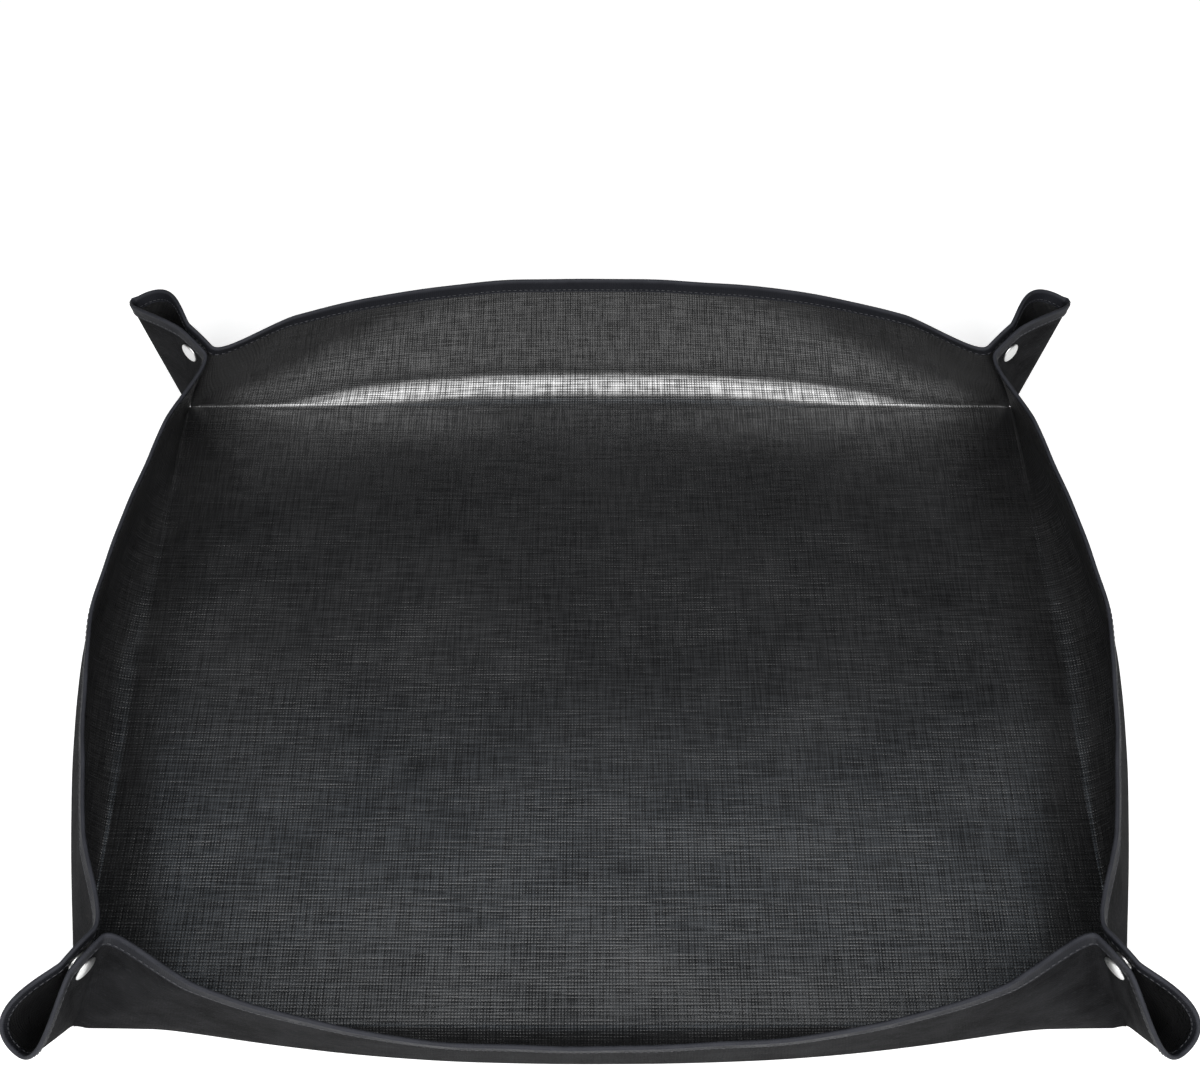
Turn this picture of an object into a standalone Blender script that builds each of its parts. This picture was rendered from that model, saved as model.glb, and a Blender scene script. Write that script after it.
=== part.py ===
"""Repotting mat: one coated sheet, bound round its rim, whose corners are pinched and snapped into a tray.

Metres, +Z up, +X along the long side, -Y towards the user. The underside rests on z = 0.
The sheet is divided along its own fold lines, into a floor, four walls and two leaves at each corner.
"""
import math

import bmesh
import bpy
import numpy as np

# The flat sheet
BASE_LENGTH = 0.550
BASE_WIDTH = 0.400
WALL_CLOTH = 0.100
SHEET = 0.0008
GAP = 0.0003

# The bend at the foot of each wall, at mid length and at the corners
MID_BEND_RADIUS = 0.0254
CORNER_BEND_RADIUS = 0.0012

# How upright each wall stands at mid length, in degrees from lying flat, and the power of its bow
FRONT_SHAPE = (82, 2.4)
REAR_SHAPE = (76, 2.4)
SIDE_SHAPE = (110, 1.5)

# Where a corner is pinched, as seen from the corner of the floor
PINCH_REACH = 0.095
PINCH_INSET_X = 0.032
PINCH_INSET_Y = 0.019
PINCH_LEAN_POWER = 1.2
PINCH_MIN_SPREAD = 0.00065
PINCH_FOOT_RISE = 0.0004
PINCH_SPREAD_REACH = 0.7
PINCH_BLEND = 0.044
PINCH_BLEND_LEAST = 0.12
PINCH_BLEND_START = 0.04
PINCH_DRAW = 0.35

# The ears: direction of the fold at the tip, and the loop between the two leaves
EAR_RISE = {"front": math.radians(62), "rear": math.radians(67)}
EAR_TURN = {"front": math.radians(31), "rear": math.radians(4)}
EAR_REACH = {"front": 0.061, "rear": 0.087}
CAP_LEAF_BULGE = {"front": math.radians(7.6), "rear": math.radians(4.0)}
STUD_LEAF_BULGE = {"front": math.radians(8.6), "rear": math.radians(8.8)}
EAR_SWELL = 1.5
EAR_FULLEST = 0.70
EAR_FLAT_SHARE = 0.25
EAR_TIP_SETBACK = 0.0009

# Binding tape folded over the rim
TAPE = 0.0006
TAPE_DEPTH = 0.008
TAPE_END_SETBACK = 0.0012
END_SETBACK = 0.6 * GAP

# Where the snaps are, and half the stack of socket and stud between the two leaves
SNAP_HALF_STACK = 0.00245
SNAP_BELOW_RIM = 0.0165
SNAP_OFFSET = 0.0078
SNAP_CORNER = 0.0004

# The cap: its dome, as radius and height over the cloth, and its post with the clenched end
CAP_RADIUS = 0.0065
CAP_DOME = ((0.0, 0.00185), (0.0026, 0.00172), (0.0047, 0.00132), (0.0060, 0.0008), (CAP_RADIUS, 0.00035))
CAP_UNDERCUT = 0.0002
POST_RADIUS = 0.0020
CLENCH_WIDTH = 0.0006
CLENCH_DEPTH = 0.0003

# The socket: heights from the middle of the pinch, and the room round the stud and the spring
SOCKET_RADIUS = 0.0056
SOCKET_PLATE = 0.0005
SOCKET_MOUTH = -0.00085
SOCKET_SHELF = 0.00065
LIP_CLEARANCE = 0.0006
CAVITY_CLEARANCE = 0.00035

# The stud with its hollow knob: radius, and height from the middle of the pinch
STUD_RADIUS = 0.0052
HEAD_RADIUS = 0.0026
NECK_RADIUS = 0.0021
NECK_TOP = -0.0004
HEAD_LOW = -0.0001
HEAD_HIGH = 0.0003
HEAD_TOP = 0.00075

# The eyelet that clenches the stud
EYELET_RADIUS = 0.00475
EYELET_HEIGHT = 0.00075
TUBE_RADIUS = 0.0012
TUBE_BORE = 0.0007
TUBE_END = 0.0004

# The split ring spring in the socket
SPRING_RADIUS = 0.00325
SPRING_WIRE = 0.0003
SPRING_OPENING = math.radians(50)

# Steps in the meshes
WALL_COLUMNS = 25
CLOTH_ROWS = 9
LEAF_FLAT_COLUMNS = 3
LEAF_LOOP_COLUMNS = 9
ROW_CROWDING = 1.6
TURNED_SIDES = 20
SMALL_SIDES = 12
SPRING_STEPS = 16
SPRING_SIDES = 5
SLOPE_STEP = 0.00001
CUTTER_REACH = 0.006
SMOOTH_BELOW = math.radians(40)
PIVOT_SIZE = 0.02

COLOURS = {
    "coated_cloth": ((0.022, 0.023, 0.026, 1), 0.38, 0.0),
    "binding_tape": ((0.035, 0.036, 0.040, 1), 0.85, 0.0),
    "snap_metal": ((0.80, 0.80, 0.79, 1), 0.25, 1.0),
    "spring_wire": ((0.45, 0.45, 0.46, 1), 0.35, 1.0),
}

UP = np.array((0.0, 0.0, 1.0))
PINCH_RISE = math.sqrt(PINCH_REACH ** 2 - PINCH_INSET_X ** 2 - PINCH_INSET_Y ** 2)


class Wall:
    """One wall: where its fold line runs, which way it faces, and the shape that it stands in."""

    def __init__(self, name, along, out, size, insets, mid_angle, bow):
        self.name = name
        self.along = np.array(along, float)
        self.out = np.array(out, float)
        self.half = size[0] / 2
        self.fold = self.out * size[1] / 2
        self.inset_along, self.inset_out = insets
        self.mid_angle = math.radians(mid_angle)
        self.bow = bow


class Corner:
    """One pinched corner: the floor's corner, the pinch line, the ear's tip line and the side axis."""

    def __init__(self, end, side, x_sign, y_sign):
        self.name = end + "_" + side
        foot_x = BASE_LENGTH / 2 + CORNER_BEND_RADIUS
        foot_y = BASE_WIDTH / 2 + CORNER_BEND_RADIUS
        self.foot = np.array((x_sign * foot_x, y_sign * foot_y, SHEET / 2 + PINCH_FOOT_RISE))
        inset = np.array((-x_sign * PINCH_INSET_X, -y_sign * PINCH_INSET_Y, PINCH_RISE))
        self.pinch = inset / PINCH_REACH
        turn = math.radians(45) - EAR_TURN[end]
        level = math.cos(EAR_RISE[end])
        rise = math.sin(EAR_RISE[end])
        tip = np.array((x_sign * level * math.sin(turn), y_sign * level * math.cos(turn), rise))
        self.sweep = math.acos(float(self.pinch @ tip))
        self.reach = unit(tip - self.pinch * (self.pinch @ tip))
        self.back = self.pinch * math.sin(self.sweep) - self.reach * math.cos(self.sweep)
        self.side = unit(np.cross(self.pinch, self.reach)) * -x_sign * y_sign
        self.tip_reach = EAR_REACH[end]
        self.cap_wall = end if end == "front" else side
        self.cap_bulge = CAP_LEAF_BULGE[end]
        self.stud_bulge = STUD_LEAF_BULGE[end]


def unit(vector):
    return vector / np.linalg.norm(vector)


def spread(share):
    """Distance of each leaf from the middle of the pinch, at a share of the way up the pinch line."""
    full = SNAP_HALF_STACK + SHEET / 2
    fall = max(0.0, 1 - share / PINCH_SPREAD_REACH)
    return PINCH_MIN_SPREAD + (full - PINCH_MIN_SPREAD) * (1 - fall ** 2)


def section(cloth, radius, angle, share=1):
    """Outward and upward distance, a length of cloth past the fold: a round bend, then straight."""
    arc = min(cloth, radius * angle)
    turned = arc / radius
    rest = (cloth - arc) * share
    outward = radius * math.sin(turned) + rest * math.cos(angle)
    upward = radius * (1 - math.cos(turned)) + rest * math.sin(angle)
    return outward, upward


def wall_point(wall, corners, place, cloth):
    """Middle of the cloth, a distance along a wall from its middle and a length of cloth up it."""
    bow = 1 - (abs(place) / wall.half) ** wall.bow
    end_angle = math.atan2(PINCH_RISE, -wall.inset_out)
    end_share = math.hypot(PINCH_RISE, wall.inset_out) / WALL_CLOTH
    mid = np.array(section(cloth, MID_BEND_RADIUS, wall.mid_angle))
    end = np.array(section(cloth, CORNER_BEND_RADIUS, end_angle, end_share))
    outward, upward = mid * bow + end * (1 - bow)
    lean = wall.inset_along * cloth / WALL_CLOTH * (abs(place) / wall.half) ** PINCH_LEAN_POWER
    along = place - math.copysign(lean, place)
    point = wall.fold + wall.along * along + wall.out * outward + UP * (upward + SHEET / 2)
    corner = corners[1] if place > 0 else corners[0]
    share = cloth / WALL_CLOTH
    from_end = wall.half - abs(place)
    blend = 1 - from_end / (PINCH_BLEND * max(share, PINCH_BLEND_LEAST))
    if blend <= 0:
        return point
    held = blend ** 2 * (3 - 2 * blend) * min(1, share / PINCH_BLEND_START)
    towards_pinch = leaf_root(corner, wall, share) - corner.reach * PINCH_DRAW * from_end
    return point * (1 - held) + towards_pinch * held


def hand(corner, wall):
    """Which side of the pinch a wall's own leaf lies on."""
    return 1 if wall.out @ corner.side > 0 else -1


def leaf_root(corner, wall, share):
    return corner.foot + corner.pinch * PINCH_REACH * share + corner.side * hand(corner, wall) * spread(share)


def leaf_point(corner, wall, column, share):
    """Middle of the cloth on a leaf. Columns run from the pinch, 0, over the flat part, 1, to the tip, 2."""
    looped = max(0.0, column - 1)
    if column < 1:
        swept = EAR_FLAT_SHARE * column
    else:
        swept = EAR_FLAT_SHARE + (1 - EAR_FLAT_SHARE) * (1 - math.cos(math.pi * looped)) / 2
    turn = swept * corner.sweep
    full = corner.cap_bulge if wall.name == corner.cap_wall else corner.stud_bulge
    bulge = full * math.sin(math.pi * looped) * math.sin(math.pi * looped / 2) ** EAR_SWELL / EAR_FULLEST
    rim = PINCH_REACH + (corner.tip_reach - PINCH_REACH) * swept ** 2
    radius = rim * share
    line = corner.pinch * math.cos(turn) + corner.reach * math.sin(turn)
    sideways = corner.side * hand(corner, wall)
    apart = spread(radius / PINCH_REACH) * (1 + math.cos(math.pi * looped)) / 2
    apart += GAP / 2 * (1 - math.cos(math.pi * looped)) / 2
    clear = corner.reach * GAP / 2 * (1 - swept) + corner.back * EAR_TIP_SETBACK * swept
    bulged = line * math.cos(bulge) + sideways * math.sin(bulge)
    return corner.foot + bulged * radius + sideways * apart + clear


def surface_grid(point, columns, rows, outside):
    """Points and unit normals over a surface, with the normals on the fabric side."""
    step = SLOPE_STEP
    points = np.array([[point(u, v) for v in rows] for u in columns])
    ahead = np.array([[point(u + step, v) - point(u - step, v) for v in rows] for u in columns])
    rimward = np.array([[point(u, v + step) - point(u, v - step) for v in rows] for u in columns])
    normals = np.cross(ahead, rimward)
    normals /= np.linalg.norm(normals, axis=2, keepdims=True)
    middle = normals[len(columns) // 2][len(rows) // 2]
    if middle @ outside < 0:
        normals = -normals
    return points, normals


def material(slot):
    made = bpy.data.materials.get(slot)
    if made:
        return made
    colour, roughness, metallic = COLOURS[slot]
    made = bpy.data.materials.new(slot)
    made.use_nodes = True
    shader = made.node_tree.nodes["Principled BSDF"]
    shader.inputs["Base Color"].default_value = colour
    shader.inputs["Roughness"].default_value = roughness
    shader.inputs["Metallic"].default_value = metallic
    return made


def add_object(name, vertices, faces, slot, parent):
    """A closed mesh from world coordinates, with its origin on its parent's joint axis."""
    origin = np.array(parent.matrix_world.translation) if parent else np.zeros(3)
    mesh = bpy.data.meshes.new(name)
    mesh.from_pydata([tuple(np.array(vertex) - origin) for vertex in vertices], [], faces)
    edit = bmesh.new()
    edit.from_mesh(mesh)
    bmesh.ops.recalc_face_normals(edit, faces=edit.faces)
    edit.to_mesh(mesh)
    edit.free()
    mesh.shade_smooth()
    mesh.set_sharp_from_angle(angle=SMOOTH_BELOW)
    mesh.materials.append(material(slot))
    placed = bpy.data.objects.new(name, mesh)
    bpy.context.scene.collection.objects.link(placed)
    placed.parent = parent
    return placed


def add_pivot(name, place, parent):
    pivot = bpy.data.objects.new(name, None)
    pivot.empty_display_size = PIVOT_SIZE
    bpy.context.scene.collection.objects.link(pivot)
    pivot.parent = parent
    start = np.array(parent.matrix_world.translation) if parent else np.zeros(3)
    pivot.location = tuple(np.array(place) - start)
    bpy.context.view_layer.update()
    return pivot


def add_sheet(name, points, normals, parent):
    """A sheet of cloth with its two faces half a thickness off a grid of points."""
    wide, high = points.shape[:2]
    outer = (points + normals * SHEET / 2).reshape(-1, 3)
    inner = (points - normals * SHEET / 2).reshape(-1, 3)
    count = wide * high
    faces = []
    for i in range(wide - 1):
        for j in range(high - 1):
            low, high_next = i * high + j, (i + 1) * high + j + 1
            faces += [(low, low + high, high_next), (low, high_next, low + 1)]
            low, high_next = low + count, high_next + count
            faces += [(low, high_next, low + high), (low, low + 1, high_next)]
    round_edge = [i * high for i in range(wide)]
    round_edge += [(wide - 1) * high + j for j in range(1, high)]
    round_edge += [i * high + high - 1 for i in range(wide - 2, -1, -1)]
    round_edge += [j for j in range(high - 2, 0, -1)]
    for a, b in zip(round_edge, round_edge[1:] + round_edge[:1]):
        faces.append((a, a + count, b + count, b))
    return add_object(name, list(outer) + list(inner), faces, "coated_cloth", parent)


def add_tape(name, edge_points, edge_normals, parent):
    """Binding folded over the rim: a channel swept along two rows of points, its lower edge and the rim."""
    near = SHEET / 2 + GAP
    far = near + TAPE
    profile = (
        (0, 0, far), (1, GAP + TAPE, far), (1, GAP + TAPE, -far), (0, 0, -far),
        (0, 0, -near), (1, GAP, -near), (1, GAP, near), (0, 0, near),
    )
    vertices = []
    for points, normals in zip(edge_points, edge_normals):
        rimward = unit(points[1] - points[0])
        for row, past, across in profile:
            vertices.append(points[row] + rimward * past + normals[row] * across)
    size = len(profile)
    faces = []
    last = len(edge_points) - 1
    for i in range(last):
        for j in range(size):
            k = (j + 1) % size
            low, high = (j, k) if profile[j][0] <= profile[k][0] else (k, j)
            low, high = i * size + low, i * size + high
            faces += [(low, low + size, high + size), (low, high + size, high)]
    for start in (0, last * size):
        faces += [tuple(start + n for n in quad) for quad in ((0, 1, 6, 7), (1, 2, 5, 6), (2, 3, 4, 5))]
    return add_object(name, vertices, faces, "binding_tape", parent)


def add_turned(name, profile, centre, axis, slot, parent, sides):
    """A closed profile of radius and height turned about an axis; a radius of 0 is on the axis."""
    first = unit(np.cross(axis, UP))
    second = np.cross(axis, first)
    rings = []
    vertices = []
    for radius, height in profile:
        start = len(vertices)
        if radius == 0:
            vertices.append(centre + axis * height)
            rings.append([start] * sides)
            continue
        for n in range(sides):
            turn = 2 * math.pi * n / sides
            outward = first * math.cos(turn) + second * math.sin(turn)
            vertices.append(centre + axis * height + outward * radius)
        rings.append([start + n for n in range(sides)])
    faces = []
    for low, high in zip(rings, rings[1:] + rings[:1]):
        if low[0] == low[1] and high[0] == high[1]:
            continue
        for n in range(sides):
            m = (n + 1) % sides
            corners = [low[n], low[m], high[m], high[n]]
            faces.append(tuple(dict.fromkeys(corners)))
    return add_object(name, vertices, faces, slot, parent)


def add_spring(name, centre, axis, parent):
    """A split ring of wire, open over a small arc."""
    first = unit(np.cross(axis, UP))
    second = np.cross(axis, first)
    vertices = []
    for i in range(SPRING_STEPS + 1):
        turn = SPRING_OPENING / 2 + (2 * math.pi - SPRING_OPENING) * i / SPRING_STEPS
        outward = first * math.cos(turn) + second * math.sin(turn)
        for j in range(SPRING_SIDES):
            around = 2 * math.pi * j / SPRING_SIDES
            wire = outward * math.cos(around) + axis * math.sin(around)
            vertices.append(centre + outward * SPRING_RADIUS + wire * SPRING_WIRE)
    faces = [tuple(range(SPRING_SIDES)), tuple(SPRING_STEPS * SPRING_SIDES + j for j in range(SPRING_SIDES))]
    for i in range(SPRING_STEPS):
        for j in range(SPRING_SIDES):
            k = (j + 1) % SPRING_SIDES
            low = i * SPRING_SIDES
            high = low + SPRING_SIDES
            faces.append((low + j, low + k, high + k, high + j))
    return add_object(name, vertices, faces, "spring_wire", parent)


def cut_hole(sheet, centre, axis, radius):
    """A round hole through a leaf for a snap's post."""
    plug = ((0, -CUTTER_REACH), (radius, -CUTTER_REACH), (radius, CUTTER_REACH), (0, CUTTER_REACH))
    name = sheet.name + "_cutter"
    cutter = add_turned(name, plug, centre, axis, "coated_cloth", sheet.parent, SMALL_SIDES)
    cutter.hide_render = True
    cutter.display_type = "WIRE"
    cut = sheet.modifiers.new("post_hole", "BOOLEAN")
    cut.object = cutter
    cut.operation = "DIFFERENCE"
    cut.solver = "EXACT"


def cap_profile():
    """Domed cap with its post and the clenched end of the post."""
    back = SNAP_HALF_STACK + SHEET + GAP
    clench = socket_plate() - GAP
    dome = tuple((radius, back + height) for radius, height in CAP_DOME)
    return dome + (
        (CAP_RADIUS - CAP_UNDERCUT, back), (POST_RADIUS, back), (POST_RADIUS, clench),
        (POST_RADIUS + CLENCH_WIDTH, clench), (POST_RADIUS + CLENCH_WIDTH / 2, clench - CLENCH_DEPTH),
        (0, clench - CLENCH_DEPTH),
    )


def socket_plate():
    """Height of the inside of the socket's back plate."""
    return SNAP_HALF_STACK - GAP - SOCKET_PLATE


def socket_profile():
    """Ring with a back plate, a cavity for the spring and a lip that the stud passes."""
    back = SNAP_HALF_STACK - GAP
    shelf = SOCKET_MOUTH + SOCKET_SHELF
    hole = POST_RADIUS + GAP
    cavity = SPRING_RADIUS + SPRING_WIRE + CAVITY_CLEARANCE
    lip = HEAD_RADIUS + LIP_CLEARANCE
    return (
        (hole, back), (SOCKET_RADIUS - SNAP_CORNER, back), (SOCKET_RADIUS, back - SNAP_CORNER),
        (SOCKET_RADIUS, SOCKET_MOUTH + SNAP_CORNER), (SOCKET_RADIUS - SNAP_CORNER, SOCKET_MOUTH),
        (lip, SOCKET_MOUTH), (lip, shelf), (cavity, shelf), (cavity, socket_plate()), (hole, socket_plate()),
    )


def stud_profile():
    """Flange with a hollow knob."""
    foot = -SNAP_HALF_STACK + GAP
    flange = SOCKET_MOUTH - GAP
    bore = TUBE_RADIUS + GAP
    return (
        (bore, foot), (STUD_RADIUS, foot), (STUD_RADIUS, flange - SNAP_CORNER),
        (STUD_RADIUS - SNAP_CORNER, flange), (NECK_RADIUS, flange), (NECK_RADIUS, NECK_TOP),
        (HEAD_RADIUS, HEAD_LOW), (HEAD_RADIUS, HEAD_HIGH), (NECK_RADIUS, HEAD_TOP), (bore, HEAD_TOP),
    )


def eyelet_profile():
    """Ring outside the cloth with the tube that clenches the stud."""
    face = -SNAP_HALF_STACK - SHEET - GAP
    back = face - EYELET_HEIGHT
    return (
        (TUBE_BORE, TUBE_END), (TUBE_RADIUS, TUBE_END), (TUBE_RADIUS, face), (EYELET_RADIUS, face),
        (EYELET_RADIUS, back + SNAP_CORNER), (EYELET_RADIUS - SNAP_CORNER, back),
        (TUBE_RADIUS + SNAP_CORNER, back), (TUBE_BORE, back + SNAP_CORNER),
    )


def add_floor():
    half_x = BASE_LENGTH / 2 - GAP / 2
    half_y = BASE_WIDTH / 2 - GAP / 2
    outline = ((-half_x, -half_y), (half_x, -half_y), (half_x, half_y), (-half_x, half_y))
    vertices = [np.array((x, y, 0.0)) for x, y in outline]
    vertices += [np.array((x, y, SHEET)) for x, y in outline]
    faces = [(3, 2, 1, 0), (4, 5, 6, 7)]
    faces += [(i, (i + 1) % 4, (i + 1) % 4 + 4, i + 4) for i in range(4)]
    add_object("floor_panel", vertices, faces, "coated_cloth", None)


def row_shares():
    """Shares of the way from the fold to the rim. The tape lies between the last two."""
    first = GAP / 2 / WALL_CLOTH
    tape_edge = 1 - TAPE_DEPTH / WALL_CLOTH
    last = CLOTH_ROWS - 2
    return [first + (tape_edge - first) * (j / last) ** ROW_CROWDING for j in range(last + 1)] + [1]


def wall_columns(wall):
    """Places along a wall, closer together towards its ends. The tape stops one place short of each end."""
    turns = [math.pi / 2 * (2 * i / (WALL_COLUMNS - 1) - 1) for i in range(1, WALL_COLUMNS - 1)]
    end = wall.half - END_SETBACK
    tape_end = wall.half - TAPE_END_SETBACK
    return [-end, -tape_end] + [wall.half * math.sin(turn) for turn in turns] + [tape_end, end]


def add_wall(wall, corners):
    pivot = add_pivot(wall.name + "_wall_hinge", wall.fold, None)

    def point(place, cloth):
        return wall_point(wall, corners, place, cloth)

    rows = [WALL_CLOTH * share for share in row_shares()]
    points, normals = surface_grid(point, wall_columns(wall), rows, wall.out)
    add_sheet(wall.name + "_wall_panel", points, normals, pivot)
    add_tape(wall.name + "_wall_binding", points[1:-1, -2:], normals[1:-1, -2:], pivot)
    return pivot


def leaf_columns(corner):
    """Column values from the pinch to the tip. The tape starts at the second."""
    flat_width = EAR_FLAT_SHARE * corner.sweep * PINCH_REACH
    tape_start = (TAPE_END_SETBACK - GAP / 2) / flat_width
    flat = [i / (LEAF_FLAT_COLUMNS - 1) for i in range(1, LEAF_FLAT_COLUMNS - 1)]
    loop = [1 + i / (LEAF_LOOP_COLUMNS - 1) for i in range(LEAF_LOOP_COLUMNS)]
    return [0, tape_start] + flat + loop


def add_leaf(corner, wall, wall_pivot):
    """A wall's leaf of an ear. The leaf turns about the pinch line, on the coated face."""
    name = corner.name + "_" + wall.name + "_leaf"
    place = leaf_root(corner, wall, 1) - corner.side * hand(corner, wall) * SHEET / 2
    pivot = add_pivot(name + "_hinge", place, wall_pivot)
    outside = corner.side * hand(corner, wall)

    def point(column, share):
        return leaf_point(corner, wall, column, share)

    points, normals = surface_grid(point, leaf_columns(corner), row_shares()[1:], outside)
    sheet = add_sheet(name, points, normals, pivot)
    add_tape(name + "_binding", points[1:, -2:], normals[1:, -2:], pivot)
    return sheet, pivot


def add_snap(corner, cap_leaf, stud_leaf, cap_wall):
    """A snap across the pinch: cap, socket and spring on one leaf, stud and eyelet on the other."""
    cap_sheet, cap_pivot = cap_leaf
    stud_sheet, stud_pivot = stud_leaf
    axis = corner.side * hand(corner, cap_wall)
    centre = corner.foot + corner.pinch * (PINCH_REACH - SNAP_BELOW_RIM) + corner.reach * SNAP_OFFSET
    name = corner.name + "_snap_"
    add_turned(name + "cap", cap_profile(), centre, axis, "snap_metal", cap_pivot, TURNED_SIDES)
    add_turned(name + "socket", socket_profile(), centre, axis, "snap_metal", cap_pivot, TURNED_SIDES)
    add_turned(name + "stud", stud_profile(), centre, axis, "snap_metal", stud_pivot, SMALL_SIDES)
    add_turned(name + "eyelet", eyelet_profile(), centre, axis, "snap_metal", stud_pivot, TURNED_SIDES)
    spring_height = SOCKET_MOUTH + SOCKET_SHELF + GAP + SPRING_WIRE
    add_spring(name + "spring", centre + axis * spring_height, axis, cap_pivot)
    cut_hole(cap_sheet, centre + axis * (SNAP_HALF_STACK + SHEET / 2), axis, POST_RADIUS + GAP)
    cut_hole(stud_sheet, centre - axis * (SNAP_HALF_STACK + SHEET / 2), axis, TUBE_RADIUS + GAP)


def clear_scene():
    for old in list(bpy.data.objects):
        bpy.data.objects.remove(old, do_unlink=True)


def build():
    clear_scene()
    corners = {}
    for end, y_sign in (("front", -1), ("rear", 1)):
        for side, x_sign in (("left", -1), ("right", 1)):
            corners[end, side] = Corner(end, side, x_sign, y_sign)
    long_way = ((BASE_LENGTH, BASE_WIDTH), (PINCH_INSET_X, PINCH_INSET_Y))
    short_way = ((BASE_WIDTH, BASE_LENGTH), (PINCH_INSET_Y, PINCH_INSET_X))
    walls = {
        "front": Wall("front", (1, 0, 0), (0, -1, 0), *long_way, *FRONT_SHAPE),
        "rear": Wall("rear", (1, 0, 0), (0, 1, 0), *long_way, *REAR_SHAPE),
        "left": Wall("left", (0, 1, 0), (-1, 0, 0), *short_way, *SIDE_SHAPE),
        "right": Wall("right", (0, 1, 0), (1, 0, 0), *short_way, *SIDE_SHAPE),
    }
    add_floor()
    pivots = {}
    for name, wall in walls.items():
        if name in ("front", "rear"):
            at_ends = (corners[name, "left"], corners[name, "right"])
        else:
            at_ends = (corners["front", name], corners["rear", name])
        pivots[name] = add_wall(wall, at_ends)
    for (end, side), corner in corners.items():
        end_leaf = add_leaf(corner, walls[end], pivots[end])
        side_leaf = add_leaf(corner, walls[side], pivots[side])
        if corner.cap_wall == end:
            add_snap(corner, end_leaf, side_leaf, walls[end])
        else:
            add_snap(corner, side_leaf, end_leaf, walls[side])


build()
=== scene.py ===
"""Looks for the repotting mat: a coated sheet, bound round its rim and snapped into a tray."""
import math

import bpy
import numpy as np
from mathutils import Matrix, Vector


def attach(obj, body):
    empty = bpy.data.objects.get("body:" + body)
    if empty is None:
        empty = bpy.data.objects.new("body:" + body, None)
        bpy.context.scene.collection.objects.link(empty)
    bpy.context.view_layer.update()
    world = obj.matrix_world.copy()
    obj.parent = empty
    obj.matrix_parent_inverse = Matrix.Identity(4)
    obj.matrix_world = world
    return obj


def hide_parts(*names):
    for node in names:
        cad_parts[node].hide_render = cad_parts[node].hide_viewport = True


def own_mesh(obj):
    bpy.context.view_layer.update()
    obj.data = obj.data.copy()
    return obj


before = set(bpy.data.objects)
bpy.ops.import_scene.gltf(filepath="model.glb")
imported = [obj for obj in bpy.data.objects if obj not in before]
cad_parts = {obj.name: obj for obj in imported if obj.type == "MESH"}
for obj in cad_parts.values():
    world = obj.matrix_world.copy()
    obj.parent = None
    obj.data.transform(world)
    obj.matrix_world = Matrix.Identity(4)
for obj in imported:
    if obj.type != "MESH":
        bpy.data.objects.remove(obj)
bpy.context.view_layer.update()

# The camera looks down into the tray from the front, as in the photograph.
# Its lens is shifted a little, because the tray sits below the middle of the picture.
CAMERA_PLACE = (0, -0.426, 0.8455)
CAMERA_TILT = math.radians(35.606)
bpy.ops.object.camera_add(location=CAMERA_PLACE, rotation=(CAMERA_TILT, 0, 0))
camera = bpy.context.object
camera.name = "front_camera"
camera.data.lens = 46.97
camera.data.sensor_width = 36
camera.data.shift_y = -0.0838
bpy.context.scene.camera = camera

# The cloth is one rectangle, cut 750 x 600 mm and bound round its edge. Its floor is 550 x 400 mm, and
# 100 mm of cloth goes up each side. It is woven from flat tapes, coated and glossy inside, and left as
# matte fabric outside. The floor lies flat on the table.
FLOOR_LENGTH = 0.550
FLOOR_WIDTH = 0.400
WALL_CLOTH = 0.100
SHEET = 0.0008
THREAD_PITCH = 0.0017
UP = np.array((0.0, 0.0, 1.0))


class Wire:
    """One value in a material. Sums on it add Math nodes, and node() adds any other node."""

    def __init__(self, socket):
        self.socket = socket
        self.tree = socket.id_data

    def node(self, kind, settings=(), sockets=(), out=0):
        """Adds a node, sets it up, and feeds its sockets with numbers, colours or wires."""
        made = self.tree.nodes.new(kind)
        for name, value in dict(settings).items():
            setattr(made, name, value)
        for place, value in dict(sockets).items():
            if isinstance(value, Wire):
                self.tree.links.new(value.socket, made.inputs[place])
            else:
                made.inputs[place].default_value = value
        return Wire(made.outputs[out])

    def math(self, operation, *others):
        return self.node("ShaderNodeMath", {"operation": operation}, dict(enumerate((self, *others))))

    def __add__(self, other):
        return self.math("ADD", other)

    def __sub__(self, other):
        return self.math("SUBTRACT", other)

    def __rsub__(self, other):
        return self.node("ShaderNodeMath", {"operation": "SUBTRACT"}, {0: other, 1: self})

    def __mul__(self, other):
        return self.math("MULTIPLY", other)

    __radd__ = __add__

    def wave(self):
        """Height of a row of round threads, one for each whole number."""
        return (self * math.pi).math("SINE").math("ABSOLUTE")

    def noise(self, vector, scale, detail=2.0, roughness=0.5):
        sockets = {"Vector": vector, "Scale": scale, "Detail": detail, "Roughness": roughness}
        return self.node("ShaderNodeTexNoise", (), sockets)

    def stretch(self, scale):
        """This vector, stretched along its axes."""
        return self.node("ShaderNodeVectorMath", {"operation": "MULTIPLY"}, {0: self, 1: scale})

    def shade(self, dark, light):
        """A colour between two, by this value."""
        settings = {"data_type": "RGBA"}
        return self.node("ShaderNodeMix", settings, {"Factor": self, 6: (*dark, 1), 7: (*light, 1)}, 2)

    def fit(self, low, high, new_low, new_high):
        sockets = {"Value": self, 1: low, 2: high, 3: new_low, 4: new_high}
        return self.node("ShaderNodeMapRange", (), sockets)

    def bump(self, strength, distance):
        return self.node("ShaderNodeBump", (), {"Strength": strength, "Distance": distance, "Height": self})


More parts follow.
